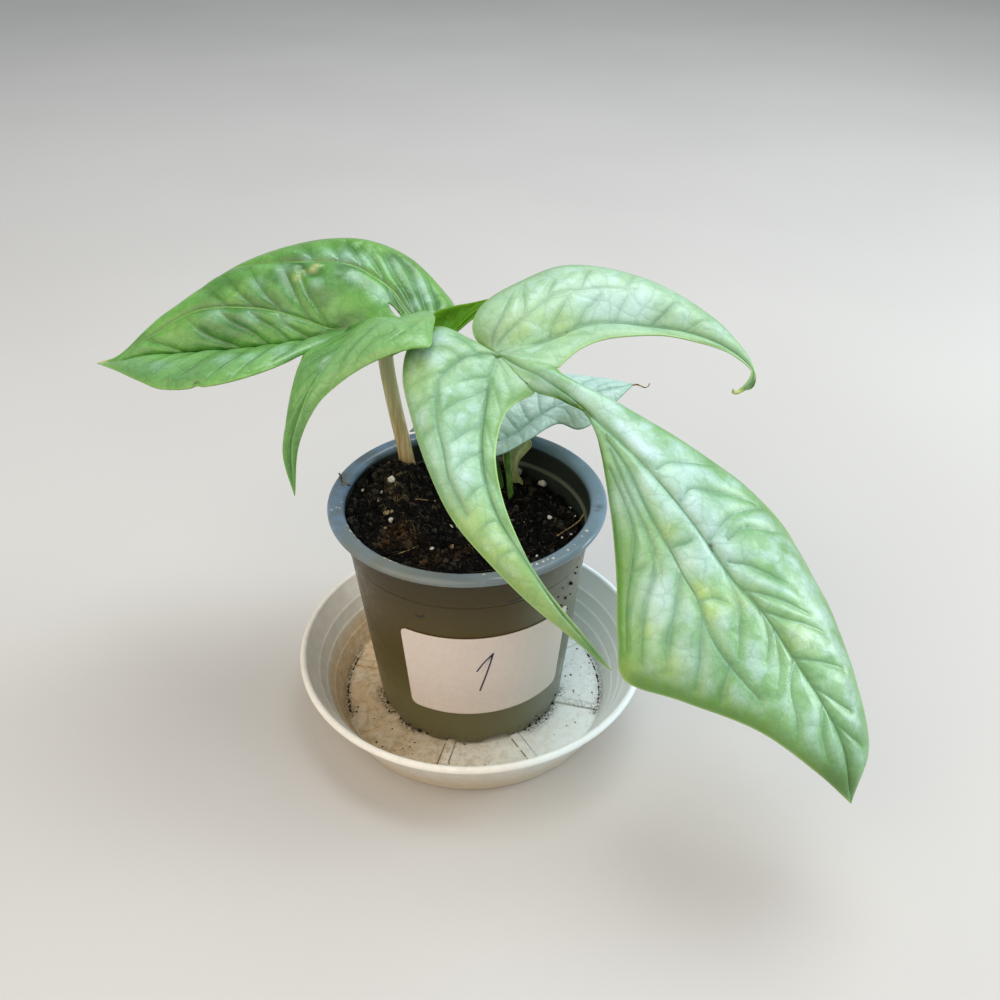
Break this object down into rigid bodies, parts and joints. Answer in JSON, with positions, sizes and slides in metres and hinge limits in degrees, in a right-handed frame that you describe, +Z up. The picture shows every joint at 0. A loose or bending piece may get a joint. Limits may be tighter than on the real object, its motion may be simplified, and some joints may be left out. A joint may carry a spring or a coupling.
{
  "type": "potted aroid houseplant with saucer",
  "caption": "Young silver-green aroid with broad lobed leaves on slim stalks, in a tapered nursery pot of soil that stands in a shallow round saucer.",
  "frame": {"origin": "middle of the saucer's flat underside, on the surface that the object stands on", "axes": "+Z up, -Y towards the viewer of the picture, +X to the viewer's right"},
  "size_m": [0.3023, 0.2028, 0.1975],
  "materials": {
    "saucer_plastic": "satin cream-white, stained at the floor's edge",
    "pot_plastic": "matt olive grey with a blue-grey rim",
    "label_paper": "matt paper",
    "potting_soil": "rough and damp, with pale grains",
    "tan_stalk": "dry tan skin with fine lengthwise streaks",
    "green_stalk": "smooth dark green",
    "dark_leaf": "glossy, puckered between the veins",
    "silver_leaf": "satin, silver mottled, with a yellow-green margin",
    "blue_leaf": "satin blue-silver",
    "olive_leaf": "satin dark olive",
    "pale_sheath": "thin and pale, drying at the edge"
  },
  "bodies": {
    "root": {"saucer": "saucer_plastic", "pot": "pot_plastic", "label": "label_paper", "soil": "potting_soil", "left_stalk": "tan_stalk", "right_stalk": "green_stalk", "back_stalk": "green_stalk", "young_stalk": "green_stalk", "left_leaf": "dark_leaf", "right_leaf": "silver_leaf", "back_leaf": "blue_leaf", "young_leaf": "olive_leaf", "sheath": "pale_sheath"}
  },
  "joints": []
}
